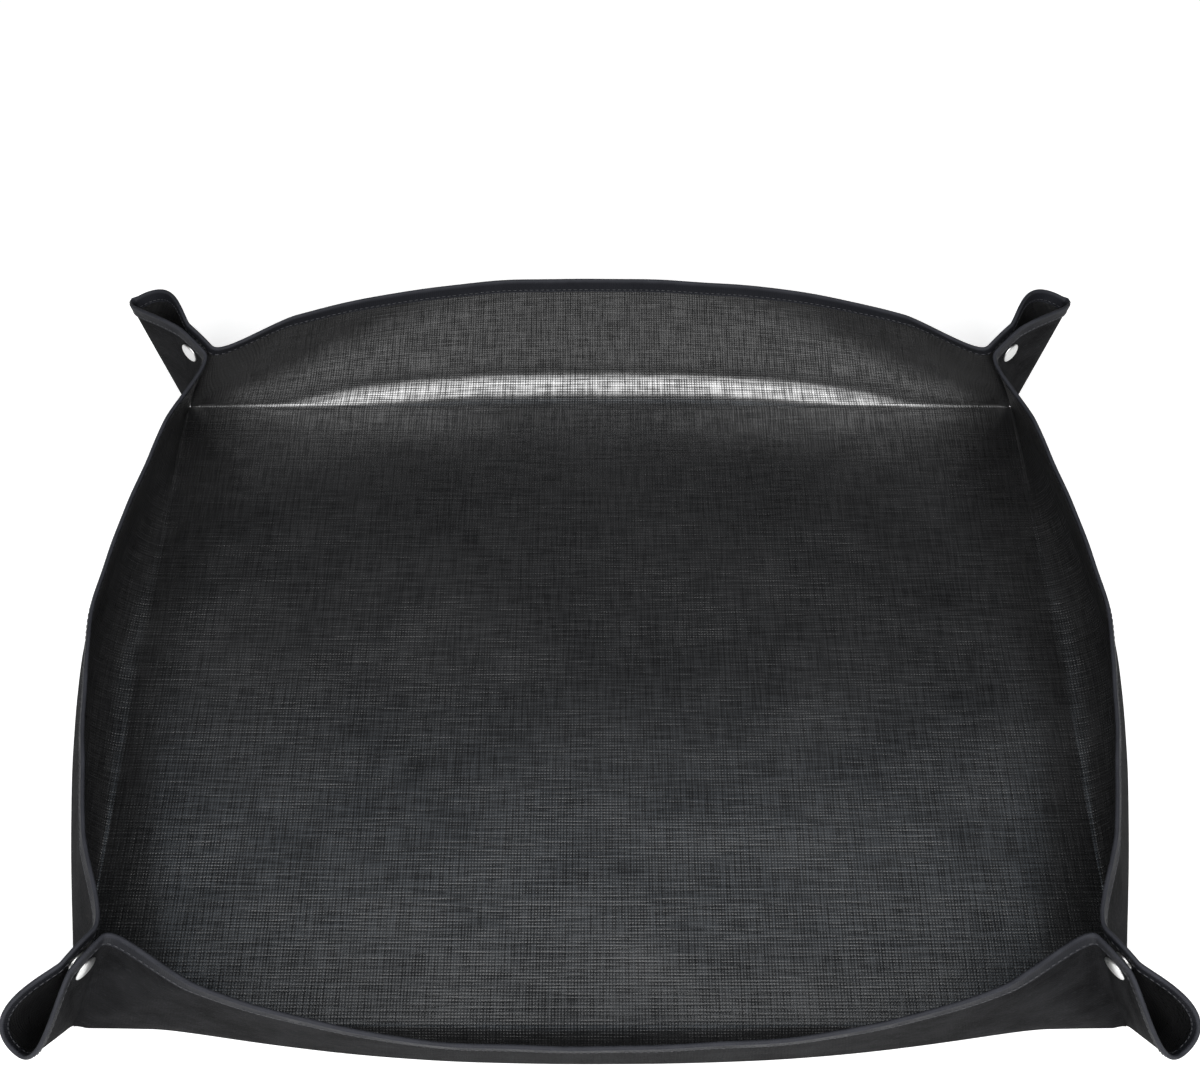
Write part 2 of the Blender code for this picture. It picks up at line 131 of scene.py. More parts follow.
def start_material(name, **plain):
    """A Principled material with its plain values set. Gives it with a function that feeds the rest."""
    made = bpy.data.materials.new(name)
    made.use_nodes = True
    shader = made.node_tree.nodes["Principled BSDF"]
    for socket, value in plain.items():
        shader.inputs[socket.replace("_", " ")].default_value = value

    def feed(socket, wire):
        made.node_tree.links.new(wire.socket, shader.inputs[socket])

    return made, Wire(shader.outputs[0]), feed


def cloth_places(start):
    """The cut sheet's own coordinates in metres, and the same in threads across and along."""
    flat = start.node("ShaderNodeUVMap", {"uv_map": "cut"})
    across = start.node("ShaderNodeSeparateXYZ", (), {0: flat})
    along = Wire(across.socket.node.outputs[1])
    return flat, across * (1 / THREAD_PITCH), along * (1 / THREAD_PITCH)


# The film is thickest where threads cross and is taut in the middle of a panel, where it shines most.
# The belly is the rear and front walls' middle, whose bend stretches the weave open.
BELLY_FROM, BELLY_FULL = -0.003, 0.025
BELLY_RELIEF = 1.4
FILM_LEAST = 0.04
FILM_BARE = 0.38
SLACK_SHINE = 0.1
WEAVE_DEPTH = 0.0002
ROLLING_DEPTH = 0.018
SLUB_LONG, SLUB_SHORT = 620, 45


def coated_weave():
    """The inside: black film over flat woven tapes, glossy, with every tape's edge still to be felt."""
    made, start, feed = start_material(
        "coated_weave", IOR=1.5, Specular_IOR_Level=0.5, Coat_IOR=3.0, Coat_Roughness=0.24,
    )
    flat, across, along = cloth_places(start)
    crossing = across.wave() * along.wave()
    warp_slubs = start.noise(flat.stretch((SLUB_LONG, SLUB_SHORT, 1)), 1.0, 1.5).fit(0.34, 0.66, 0, 1)
    weft_slubs = start.noise(flat.stretch((SLUB_SHORT, SLUB_LONG, 1)), 1.0, 1.5).fit(0.34, 0.66, 0, 1)
    slubs = warp_slubs * 0.5 + weft_slubs * 0.5
    clouds = start.noise(flat, 11.0, 4.0, 0.55).fit(0.35, 0.65, 0, 1)
    past_fold = (along * THREAD_PITCH).math("ABSOLUTE") - FLOOR_WIDTH / 2
    middle = across * (THREAD_PITCH * 2 / FLOOR_LENGTH)
    centred = (1 - middle * middle).math("MAXIMUM", 0.0)
    belly = past_fold.fit(BELLY_FROM, BELLY_FULL, 0, 1) * centred
    taut = (centred * 1.1 - past_fold * (1 / WALL_CLOTH)).fit(-0.1, 0.2, 0, 1)
    relief = crossing * (0.7 + belly * BELLY_RELIEF)
    height = relief + slubs * 0.9 + (weft_slubs * 0.6 + warp_slubs) * belly
    filmed = crossing * 0.9 + slubs * 0.8 - FILM_BARE
    filmed = filmed.math("MAXIMUM", FILM_LEAST).math("MINIMUM", 1.0)
    worn = slubs * 0.65 + clouds * 0.35
    feed("Base Color", worn.shade((0.008, 0.008, 0.0083), (0.026, 0.026, 0.027)))
    feed("Roughness", (worn + belly).fit(0, 2, 0.23, 0.6))
    feed("Coat Weight", filmed * (taut * (1 - SLACK_SHINE) + SLACK_SHINE))
    rolling = start.noise(flat, 7.0, 2.0, 0.5).bump(0.6, ROLLING_DEPTH)
    relief_sockets = {"Strength": 1.0, "Distance": WEAVE_DEPTH, "Height": height, "Normal": rolling}
    feed("Normal", start.node("ShaderNodeBump", (), relief_sockets))
    return made


def fabric_back():
    """The outside: the same tapes with no film, brushed matte and a little mottled."""
    made, start, feed = start_material("fabric_back", Specular_IOR_Level=0.05)
    flat, across, along = cloth_places(start)
    fine = across.wave() * along.wave()
    clouds = start.noise(flat, 40.0, 5.0, 0.65).fit(0.35, 0.65, 0, 1)
    fluff = start.noise(flat, 600.0, 3.0, 0.7).fit(0.3, 0.7, 0, 1)
    specks = start.noise(flat, 330.0, 2.0, 0.5).fit(0.62, 0.72, 0, 1)
    tone = clouds * 0.65 + fluff * 0.3 + specks * 0.4
    feed("Base Color", tone.shade((0.004, 0.004, 0.0045), (0.024, 0.0245, 0.0265)))
    feed("Roughness", fluff.fit(0, 1, 0.7, 0.9))
    feed("Normal", (fine * 0.6 + fluff * 0.9 + clouds * 3.0).bump(0.6, 0.0003))
    return made


COATED = coated_weave()
FABRIC = fabric_back()


def unit(vector):
    return vector / np.linalg.norm(vector)


def lay_grid(name, columns, rows, place, cut):
    """A grid of quads whose points are placed on a surface. Its UV map holds their place on the cut sheet."""
    bpy.ops.object.select_all(action="DESELECT")
    bpy.ops.mesh.primitive_grid_add(x_subdivisions=len(columns) - 1, y_subdivisions=len(rows) - 1, size=1)
    laid = bpy.context.object
    laid.name = name
    laid.data.name = name
    points = np.array([place(u, v) for v in rows for u in columns])
    marks = np.array([cut(u, v) for v in rows for u in columns])
    laid.data.vertices.foreach_set("co", points.ravel())
    laid.data.uv_layers[0].name = "cut"
    corners = np.empty(len(laid.data.loops), int)
    laid.data.loops.foreach_get("vertex_index", corners)
    laid.data.uv_layers["cut"].data.foreach_set("uv", marks[corners].ravel())
    laid.data.update()
    return laid


def face_towards(laid, face, outside):
    """Turns a grid over if one of its faces looks away from a direction."""
    if Vector(outside) @ laid.data.polygons[face].normal < 0:
        bpy.ops.object.mode_set(mode="EDIT")
        bpy.ops.mesh.select_all(action="SELECT")
        bpy.ops.mesh.flip_normals()
        bpy.ops.object.mode_set(mode="OBJECT")


def thicken(laid, thickness, offset, back_slot):
    """Gives a grid its thickness and puts its back in another material slot."""
    shell = laid.modifiers.new("thickness", "SOLIDIFY")
    shell.thickness = thickness
    shell.offset = offset
    shell.use_even_offset = True
    shell.use_quality_normals = True
    shell.material_offset = back_slot
    bpy.ops.object.modifier_apply(modifier=shell.name)
    bpy.ops.object.shade_smooth_by_angle(angle=math.radians(50))


def make_cloth(name, columns, rows, place, cut, outside):
    """A panel of the sheet, fabric on the side that looks outside and coated on the other."""
    cloth = lay_grid(name, columns, rows, place, cut)
    face_towards(cloth, len(cloth.data.polygons) // 2, outside)
    cloth.data.materials.append(FABRIC)
    cloth.data.materials.append(COATED)
    thicken(cloth, SHEET, 0, 1)
    return cloth


END_BEND = 0.0012
PINCH_FOOT = SHEET / 2 + 0.0004


def on_floor(x, y):
    """The floor is flat, but each of its corners is drawn out and up to the foot of a pinch."""
    if abs(x) < FLOOR_LENGTH / 2 or abs(y) < FLOOR_WIDTH / 2:
        return x, y, SHEET / 2
    return x + math.copysign(END_BEND, x), y + math.copysign(END_BEND, y), PINCH_FOOT


floor_columns = np.linspace(-FLOOR_LENGTH / 2, FLOOR_LENGTH / 2, 111)
floor_rows = np.linspace(-FLOOR_WIDTH / 2, FLOOR_WIDTH / 2, 81)
floor_sheet = make_cloth("floor_sheet", floor_columns, floor_rows, on_floor, lambda x, y: (x, y), (0, 0, -1))
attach(floor_sheet, "base")
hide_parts("floor_panel")

# The walls are the four sides of the same sheet, drawn up by the pinched corners. Each bends softly
# up from the floor in its middle, folds sharply at its ends, and bows out between the two pinches.
MID_BEND = 0.0254
PINCH_REACH = 0.095
PINCH_INSETS = {"long": (0.032, 0.019), "short": (0.019, 0.032)}
PINCH_RISE = math.sqrt(PINCH_REACH ** 2 - PINCH_INSETS["long"][0] ** 2 - PINCH_INSETS["long"][1] ** 2)
PINCH_LEAN = 1.2
PINCH_LEAST = 0.00065
PINCH_FULL = 0.00285
PINCH_FULL_SHARE = 0.7
CURVE_IN = 0.060
FOLD_BEND = 0.0025
CURVE_IN_LEAST = 0.12
CURVE_IN_START = 0.04
CURVE_IN_DRAW = 0.35
SLACK = 0.0005
RIPPLES = ((1, 7.1, 1), (0.6, 17.3, 2), (0.3, 31, 1))
NORMAL_STEP = 0.0002
# How far off the table a panel's foot lies when the tray is opened, and how much more its rim.
WALL_LIFTS = 0.0013, 0.0065
LEAF_LIFTS = 0.0034, 0.0043
# The front ears turn out further than the rear ones and are rounder and shorter. Angles are in degrees.
EARS = {
    "front": {"rise": 62, "turn": 14, "tip_reach": 0.061, "cap_bulge": 7.6, "stud_bulge": 8.6},
    "rear": {"rise": 67, "turn": 41, "tip_reach": 0.087, "cap_bulge": 4.0, "stud_bulge": 8.8},
}


class Corner:
    """One pinched corner: its foot on the floor, the pinch line, and the directions of its ear."""

    def __init__(self, end, side):
        x = -1 if side == "left" else 1
        y = -1 if end == "front" else 1
        ear = EARS[end]
        rise = math.radians(ear["rise"])
        turn = math.radians(ear["turn"])
        self.name = end + "_" + side
        beyond = FLOOR_LENGTH / 2 + END_BEND, FLOOR_WIDTH / 2 + END_BEND
        inset_x, inset_y = PINCH_INSETS["long"]
        self.foot = np.array((x * beyond[0], y * beyond[1], PINCH_FOOT))
        self.pinch = np.array((-x * inset_x, -y * inset_y, PINCH_RISE)) / PINCH_REACH
        level = math.cos(rise)
        tip = np.array((x * level * math.sin(turn), y * level * math.cos(turn), math.sin(rise)))
        self.sweep = math.acos(float(self.pinch @ tip))
        self.reach = unit(tip - self.pinch * (self.pinch @ tip))
        self.back = self.pinch * math.sin(self.sweep) - self.reach * math.cos(self.sweep)
        self.side = unit(np.cross(self.pinch, self.reach)) * -x * y
        self.tip_reach = ear["tip_reach"]
        self.cap_bulge = math.radians(ear["cap_bulge"])
        self.stud_bulge = math.radians(ear["stud_bulge"])
        self.flat_foot = np.array((x * FLOOR_LENGTH / 2, y * FLOOR_WIDTH / 2))
        self.cap_wall, self.stud_wall = (end, side) if end == "front" else (side, end)


class Wall:
    """One wall: the middle of its fold line, its directions, how steeply it stands in its middle, in
    degrees, and how full its bow is."""

    def __init__(self, name, stand, bow):
        sign = -1 if name in ("front", "left") else 1
        across = name in ("front", "rear")
        self.name = name
        self.along = np.array((1.0, 0, 0)) if across else np.array((0, 1.0, 0))
        self.out = np.array((0, sign, 0.0)) if across else np.array((sign, 0, 0.0))
        self.half = (FLOOR_LENGTH if across else FLOOR_WIDTH) / 2
        self.fold = self.out * (FLOOR_WIDTH if across else FLOOR_LENGTH) / 2
        self.inset_along, self.inset_out = PINCH_INSETS["long" if across else "short"]
        self.stand = math.radians(stand)
        self.bow = bow
        self.corners = [corner for key, corner in CORNERS.items() if name in key]


def open_plane(along, start, end, outside, lifts):
    """What a panel goes flat to when the tray is opened. It leaves the table a little towards its rim."""
    across = unit(np.cross(along, end - start))
    inward = across if across @ outside < 0 else -across
    axis = unit(np.cross(along, end + inward * lifts[1] - start))
    return axis, start + inward * lifts[0]


class Panel:
    """One piece of the sheet between folds. Its points have a column and a share of the way to the rim."""

    def __init__(self, name, columns, point, cut, outside, flatten):
        self.name = name
        self.columns = columns
        self.point = point
        self.cut = cut
        self.outside = outside
        self.axis, self.anchor = flatten

    def normal(self, column, share):
        """The direction off the cloth, on its fabric side."""
        step = NORMAL_STEP
        across = self.point(column + step, share) - self.point(column - step, share)
        upward = self.point(column, share + step) - self.point(column, share - step)
        normal = unit(np.cross(across, upward))
        return normal if normal @ self.outside > 0 else -normal

    def dress(self, piece, node, slot):
        """Makes a piece move with this panel's body and stand for its node."""
        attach(piece, self.name)
        if node:
            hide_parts(node)
        axis, anchor = tuple(self.axis), tuple(self.anchor)
        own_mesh(piece)
        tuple(axis)
        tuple(anchor)


CORNERS = {(end, side): Corner(end, side) for end in ("front", "rear") for side in ("left", "right")}
WALLS = {
    "front": Wall("front", 82, 2.4),
    "rear": Wall("rear", 76, 2.4),
    "left": Wall("left", 110, 1.5),
    "right": Wall("right", 110, 1.5),
}


def spread(share):
    """Half the distance between the two leaves of a pinch, at a share of the way up it."""
    fall = max(0.0, 1 - share / PINCH_FULL_SHARE)
    return PINCH_LEAST + (PINCH_FULL - PINCH_LEAST) * (1 - fall ** 2)


def hand(corner, wall):
    """Which side of the pinch a wall's own leaf lies on."""
    return 1 if wall.out @ corner.side > 0 else -1


def leaf_root(corner, wall, share):
    return corner.foot + corner.pinch * PINCH_REACH * share + corner.side * hand(corner, wall) * spread(share)


def bend_up(cloth, radius, angle, share=1.0):
    """How far out and up a length of cloth reaches: round a bend and then straight."""
    arc = min(cloth, radius * angle)
    turned = arc / radius
    rest = (cloth - arc) * share
    outward = radius * math.sin(turned) + rest * math.cos(angle)
    upward = radius * (1 - math.cos(turned)) + rest * math.sin(angle)
    return np.array((outward, upward))


def slack(wall, place, share):
    """Soft cloth isn't even: its rim wanders in and out a little between the pinches."""
    along = place / wall.half
    start = wall.stand * 7
    wander = sum(size * math.sin(along * pace + start * shift) for size, pace, shift in RIPPLES)
    return SLACK * wander * share ** 2 * (1 - along ** 2)


def wall_point(wall, place, share):
    """Middle of the cloth, at a place along a wall and a share of the way up it."""
    cloth = share * WALL_CLOTH
    bow = 1 - (abs(place) / wall.half) ** wall.bow
    end_angle = math.atan2(PINCH_RISE, -wall.inset_out)
    end_share = math.hypot(PINCH_RISE, wall.inset_out) / WALL_CLOTH
    middle = bend_up(cloth, MID_BEND, wall.stand)
    end = bend_up(cloth, FOLD_BEND, end_angle, end_share)
    outward, upward = middle * bow + end * (1 - bow)
    lean = wall.inset_along * share * (abs(place) / wall.half) ** PINCH_LEAN
    point = wall.fold + wall.along * (place - math.copysign(lean, place))
    point = point + wall.out * (outward + slack(wall, place, share)) + UP * (upward + SHEET / 2)
    corner = wall.corners[1] if place > 0 else wall.corners[0]
    from_end = wall.half - abs(place)
    blend = 1 - from_end / (CURVE_IN * max(share, CURVE_IN_LEAST))
    if blend <= 0:
        return point
    held = blend ** 2 * (3 - 2 * blend) * min(1, share / CURVE_IN_START)
    drawn = leaf_root(corner, wall, share) - corner.reach * CURVE_IN_DRAW * from_end
    return point * (1 - held) + drawn * held


def wall_panel(wall):
    """A wall goes flat between its fold line and its two pinches as the tray is opened."""
    def cut(place, share):
        return (wall.fold + wall.along * place + wall.out * share * WALL_CLOTH)[:2]

    fold = wall.fold + UP * SHEET / 2
    top = leaf_root(wall.corners[1], wall, 1)
    columns = [wall.half * math.sin(math.pi / 2 * (i / 80 - 1)) for i in range(161)]
    name = wall.name + "_wall"
    return Panel(
        name, columns, lambda place, share: wall_point(wall, place, share),
        cut, wall.out, open_plane(wall.along, fold, top, wall.out, WALL_LIFTS),
    )


wall_rows = [(j / 40) ** 1.8 for j in range(41)]
WALL_PANELS = [wall_panel(wall) for wall in WALLS.values()]
for panel in WALL_PANELS:
    panel.cloth = make_cloth(
        panel.name + "_sheet", panel.columns, wall_rows, panel.point, panel.cut, panel.outside,
    )
    panel.dress(panel.cloth, panel.name + "_panel", "coated_cloth")

# Each ear is the sheet's own corner, standing out from the pinch as a loop, open at the top. Two leaves
# leave the pinch side by side, flat where the snap holds them, and round out to meet at the tip.
EAR_FLAT_SHARE = 0.25
EAR_SWELL = 1.5
EAR_FULLEST = 0.70
EAR_TIP_SETBACK = 0.0009
EAR_TIP_SHUT = 8
EAR_TIP_LEAST = 0.05
EAR_FIRST_SHARE = 0.004
EAR_CUT_SHARE = 0.56


def leaf_point(corner, wall, column, share):
    """Middle of the cloth on a leaf. Columns run from the pinch, 0, past the flat part, 1, to the tip, 2."""
    looped = max(0.0, column - 1)
    rounded = (1 - math.cos(math.pi * looped)) / 2
    swept = EAR_FLAT_SHARE * min(column, 1) + (1 - EAR_FLAT_SHARE) * rounded
    turn = swept * corner.sweep
    full = corner.cap_bulge if wall.name == corner.cap_wall else corner.stud_bulge
    swelling = math.sin(math.pi * looped)
    bulge = full * swelling * math.sin(math.pi * min(looped, 1) / 2) ** EAR_SWELL / EAR_FULLEST
    radius = (PINCH_REACH + (corner.tip_reach - PINCH_REACH) * swept ** 2) * share
    line = corner.pinch * math.cos(turn) + corner.reach * math.sin(turn)
    sideways = corner.side * hand(corner, wall)
    shut = max(EAR_TIP_LEAST, 1 - EAR_TIP_SHUT * share)
    apart = spread(radius / PINCH_REACH) * (1 - rounded) + SHEET / 2 * rounded * shut
    bulged = line * math.cos(bulge) + sideways * math.sin(bulge)
    return corner.foot + bulged * radius + sideways * apart + corner.back * EAR_TIP_SETBACK * swept


def leaf_panel(corner, wall):
    """On the cut sheet a leaf is a fan about the floor's corner. It opens flat, in line with its wall."""
    def cut(column, share):
        turned = corner.sweep * column * EAR_CUT_SHARE - math.atan2(wall.inset_along, PINCH_REACH)
        endward = wall.along[:2] * math.copysign(1, corner.foot @ wall.along)
        way = wall.out[:2] * math.cos(turned) + endward * math.sin(turned)
        return corner.flat_foot + way * PINCH_REACH * share

    name = corner.name + "_" + wall.name + "_leaf"
    foot, top = leaf_root(corner, wall, 0), leaf_root(corner, wall, 1)
    columns = [i / 12 for i in range(12)] + [1 + i / 36 for i in range(37)]
    outside = corner.side * hand(corner, wall)
    return Panel(
        name, columns, lambda column, share: leaf_point(corner, wall, column, share),
        cut, outside, open_plane(corner.reach, foot, top, outside, LEAF_LIFTS),
    )


leaf_rows = [EAR_FIRST_SHARE + (1 - EAR_FIRST_SHARE) * j / 30 for j in range(31)]
LEAF_PANELS = {}
for corner in CORNERS.values():
    for name in (corner.cap_wall, corner.stud_wall):
        panel = leaf_panel(corner, WALLS[name])
        panel.cloth = make_cloth(
            panel.name + "_sheet", panel.columns, leaf_rows, panel.point, panel.cut, panel.outside,
        )
        panel.dress(panel.cloth, panel.name, "coated_cloth")
        LEAF_PANELS[corner.name, name] = panel

# The binding is a dense woven tape, 17 mm wide, folded over the rim of every panel. A painted highlight
# lightens it where it is creased over the rim, and it is slightly paler where its selvedge lies on the cloth.
TAPE = 0.0006
TAPE_DEPTH = 0.008
TAPE_FOLD = SHEET / 2 + 0.0001
JUST_BELOW_RIM = 0.95
TAPE_WAY = [(TAPE_DEPTH * leg / 8, TAPE_FOLD) for leg in range(8, 0, -1)]
for turn in np.linspace(0, math.pi, 7):
    TAPE_WAY.append((-TAPE_FOLD * math.sin(turn), TAPE_FOLD * math.cos(turn)))
TAPE_WAY += [(TAPE_DEPTH * leg / 8, -TAPE_FOLD) for leg in range(1, 9)]


def binding_tape():
    """Black tape, ribbed across, with a painted highlight along its crease and a paler line along its edges.
    """
    made, start, feed = start_material("binding_tape", Specular_IOR_Level=0.15)
    flat, across, along = cloth_places(start)
    from_crease = along * THREAD_PITCH * (1 / TAPE_DEPTH)
    ribs = (across * 1.3).wave()
    wear = start.noise(flat, 60.0, 4.0, 0.6)
    fluff = start.noise(flat, 1400.0, 2.0, 0.6)
    # Painted highlight: the colour is lighter along the crease over the rim, where the rounded fold catches
    # the light.
    painted_crease_highlight = from_crease.math("ABSOLUTE").fit(0.02, 0.2, 1, 0) * wear.fit(0.3, 0.6, 0.5, 1)
    selvedge = from_crease.math("ABSOLUTE").fit(0.9, 0.97, 0, 0.7)
    tone = wear * 0.25 + fluff * 0.2 + painted_crease_highlight * 0.5 + selvedge * 0.5
    feed("Base Color", tone.shade((0.006, 0.0065, 0.009), (0.050, 0.052, 0.062)))
    feed("Roughness", wear.fit(0.3, 0.7, 0.5, 0.75))
    feed("Normal", (ribs * 0.7 + fluff * 0.5).bump(0.45, 0.0002))
    return made


BINDING = binding_tape()


def along_rim(panel):
    """Closely set columns of a panel, and how far along its rim each of them is."""
    fine = np.linspace(panel.columns[0], panel.columns[-1], 400)
    rim = np.array([panel.point(column, 1) for column in fine])
    run = np.concatenate(((0,), np.cumsum(np.linalg.norm(np.diff(rim, axis=0), axis=1))))
    return fine, run


def bind_rim(panel):
    """Tape folded over a panel's rim. Its UV map runs along the rim, and down from the crease."""
    fine, run = along_rim(panel)

    def on_tape(column, step):
        below, off = TAPE_WAY[int(step)]
        if below > 0:
            share = 1 - below / WALL_CLOTH
            return panel.point(column, share) + panel.normal(column, share) * off
        top = panel.point(column, 1)
        down = unit(panel.point(column, JUST_BELOW_RIM) - top)
        return top + down * below + panel.normal(column, 1) * off

    def cut(column, step):
        below, off = TAPE_WAY[int(step)]
        return np.interp(column, fine, run), max(below, 0) * math.copysign(1, off)

    tape = lay_grid(panel.name + "_tape", panel.columns, range(len(TAPE_WAY)), on_tape, cut)
    face_towards(tape, len(panel.columns) // 2, panel.outside)
    tape.data.materials.append(BINDING)
    thicken(tape, TAPE, 1, 0)
    return tape


PANELS = WALL_PANELS + list(LEAF_PANELS.values())
for panel in PANELS:
    panel.tape = bind_rim(panel)
    panel.dress(panel.tape, panel.name + "_binding", "binding_tape")

# One row of lockstitch holds the binding, sewn through tape, cloth and tape near the selvedge with
# charcoal polyester thread. Each stitch is about 3 mm long and pulls into the tape at its two ends.
STITCH_PITCH = 0.0035
STITCH_LENGTH = 0.0029
STITCH_MARGIN = 0.0025
STITCH_DIP = 1.2
STITCH_THREAD = 0.00026
STITCH_BELOW = TAPE_DEPTH - 0.0016
STITCH_OFF = TAPE_FOLD + TAPE + 0.00008


def sewing_thread():
    """Charcoal thread, twisted, with the low gloss of polyester."""
    made, start, feed = start_material("sewing_thread", Specular_IOR_Level=0.5)
    place = start.node("ShaderNodeTexCoord", (), (), 3)
    twist = start.noise(place, 1500.0, 2.0, 0.6)
    feed("Base Color", twist.shade((0.020, 0.021, 0.024), (0.080, 0.082, 0.090)))
    feed("Roughness", twist.fit(0.3, 0.7, 0.45, 0.6))
    return made


THREAD = sewing_thread()


def model_stitch():
    """One stitch: a ball drawn out along X, thinner at its ends, which dip towards the cloth."""
    bpy.ops.object.select_all(action="DESELECT")
    bpy.ops.mesh.primitive_uv_sphere_add(segments=6, ring_count=6, radius=1, rotation=(0, math.pi / 2, 0))
    bpy.ops.object.transform_apply()
    bpy.ops.transform.resize(value=(STITCH_LENGTH / 2, STITCH_THREAD, STITCH_THREAD))
    bpy.ops.object.transform_apply()
    ball = bpy.context.object
    points = np.array([vertex.co for vertex in ball.data.vertices])
    points[:, 2] -= STITCH_THREAD * STITCH_DIP * (points[:, 0] / (STITCH_LENGTH / 2)) ** 4
    faces = [tuple(face.vertices) for face in ball.data.polygons]
    bpy.data.objects.remove(ball, do_unlink=True)
    return points, faces


STITCH_POINTS, STITCH_FACES = model_stitch()


def sew(panel):
    """Copies the stitch along both faces of a panel's tape."""
    fine, run = along_rim(panel)
    count = max(2, int((run[-1] - 2 * STITCH_MARGIN) / STITCH_PITCH) + 1)
    columns = np.interp(np.linspace(STITCH_MARGIN, run[-1] - STITCH_MARGIN, count), run, fine)
    share = 1 - STITCH_BELOW / WALL_CLOTH
    points = []
    faces = []
    for column, after in zip(columns, np.append(columns[1:], 2 * columns[-1] - columns[-2])):
        place = panel.point(column, share)
        way = unit(panel.point(column + (after - column) * 0.1, share) - place)
        normal = panel.normal(column, share)
        for face in (1, -1):
            out = normal * face
            stand = np.array((way, np.cross(out, way), out))
            faces += [tuple(index + len(points) for index in stitch) for stitch in STITCH_FACES]
            points += list(place + out * STITCH_OFF + STITCH_POINTS @ stand)
    mesh = bpy.data.meshes.new(panel.name + "_stitches")
    mesh.from_pydata(points, [], faces)
    mesh.shade_smooth()
    mesh.materials.append(THREAD)
    row = bpy.data.objects.new(panel.name + "_stitches", mesh)
    bpy.context.scene.collection.objects.link(row)
    return row


for panel in PANELS:
    panel.stitches = sew(panel)
    panel.dress(panel.stitches, None, "binding_tape")
for corner in CORNERS.values():
    for name in (corner.cap_wall, corner.stud_wall):
        panel = LEAF_PANELS[corner.name, name]

# The snaps are pressed steel, nickel plated: a domed cap and a socket on one leaf, a stud and an
# eyelet on the other. The cap's post and the eyelet's tube pass through the cloth and are clenched, and
# a split wire ring in the socket grips the stud's knob.
SNAP_BELOW_RIM = 0.0165
SNAP_OFFSET = 0.0078
SNAP_HALF_STACK = 0.00245
SNAP_SIDES = 40
CAP_RADIUS = 0.0065
CAP_HEIGHT = 0.0015
CAP_BACK = SNAP_HALF_STACK + SHEET + 0.0003
CAP_EDGE = CAP_BACK + 0.00035
CAP_DOME = [
    (CAP_RADIUS * math.sin(turn), CAP_EDGE + CAP_HEIGHT * math.cos(turn))
    for turn in np.linspace(0, math.pi / 2, 13)[1:]
]
SNAP_PIECES = {
    "cap": CAP_DOME + [
        (0.0065, 0.00375), (0.00643, 0.0036), (0.0063, 0.00355), (0.0022, 0.00355), (0.0020, 0.0034),
        (0.0020, 0.00135), (0.0026, 0.00135), (0.0026, 0.0012), (0.0023, 0.00105), (0.0008, 0.00105),
    ],
    "socket": [
        (0.0023, 0.00215), (0.0052, 0.00215), (0.00548, 0.00203), (0.0056, 0.00175), (0.0056, -0.00045),
        (0.00548, -0.00073), (0.0052, -0.00085), (0.0036, -0.00085), (0.0033, -0.00078), (0.0032, -0.0006),
        (0.0032, -0.0002), (0.0039, -0.0002), (0.0039, 0.00165), (0.0023, 0.00165),
    ],
    "stud": [
        (0.0015, -0.00215), (0.0052, -0.00215), (0.0052, -0.00155), (0.00508, -0.00127), (0.0048, -0.00115),
        (0.0024, -0.00115), (0.0021, -0.001), (0.0021, -0.0004), (0.00245, -0.0002), (0.0026, 0.0),
        (0.0026, 0.0003), (0.00245, 0.0006), (0.0021, 0.00075), (0.0015, 0.00075),
    ],
    "eyelet": [
        (0.0007, 0.0004), (0.0012, 0.0004), (0.0012, -0.00355), (0.00475, -0.00355), (0.00475, -0.0039),
        (0.00463, -0.00418), (0.00435, -0.0043), (0.0016, -0.0043), (0.0013, -0.00425), (0.0009, -0.0041),
        (0.0007, -0.0039),
    ],
}


def snap_metal():
    """Nickel plate with faint rubbing marks and the odd dull spot."""
    made, start, feed = start_material("snap_metal", Metallic=1.0)
    place = start.node("ShaderNodeTexCoord", (), (), 3)
    rubbed = start.noise(place, 700.0, 3.0, 0.6)
    spots = start.noise(place, 260.0, 2.0, 0.5).fit(0.6, 0.75, 0, 1)
    feed("Base Color", (rubbed - spots * 0.4).shade((0.80, 0.80, 0.79), (0.96, 0.96, 0.95)))
    feed("Roughness", rubbed.fit(0.3, 0.7, 0.32, 0.42) + spots * 0.1)
    return made


def spring_wire():
    """Drawn spring wire, greyer than the plate, with marks along its length."""
    made, start, feed = start_material("spring_wire", Metallic=1.0)
    place = start.node("ShaderNodeTexCoord", (), (), 3)
    drawn = start.noise(place, 1800.0, 3.0, 0.6)
    feed("Base Color", drawn.shade((0.38, 0.38, 0.39), (0.58, 0.58, 0.58)))
    feed("Roughness", drawn.fit(0.3, 0.7, 0.25, 0.42))
    return made


def turn_piece(name, outline, closed):
    """A turned piece: a ring drawn out from each radius and height to the next, then closed."""
    bpy.ops.object.select_all(action="DESELECT")
    bpy.ops.mesh.primitive_circle_add(vertices=SNAP_SIDES, radius=outline[0][0])
    turned = bpy.context.object
    turned.name = name
    bpy.ops.object.mode_set(mode="EDIT")
    bpy.ops.transform.translate(value=(0, 0, outline[0][1]))
    for (radius, height), (wider, higher) in zip(outline, outline[1:]):
        bpy.ops.mesh.extrude_region_move(TRANSFORM_OT_translate={"value": (0, 0, higher - height)})
        scale = wider / radius
        bpy.ops.transform.resize(value=(scale, scale, 1), center_override=(0, 0, higher))
    bpy.ops.mesh.select_all(action="DESELECT")
    bpy.ops.mesh.select_non_manifold()
    if closed:
        bpy.ops.mesh.bridge_edge_loops()
    else:
        bpy.ops.mesh.fill_holes(sides=0)
    bpy.ops.mesh.select_all(action="SELECT")
    bpy.ops.mesh.normals_make_consistent(inside=False)
    bpy.ops.object.mode_set(mode="OBJECT")
    bpy.ops.object.shade_smooth_by_angle(angle=math.radians(35))
    return turned


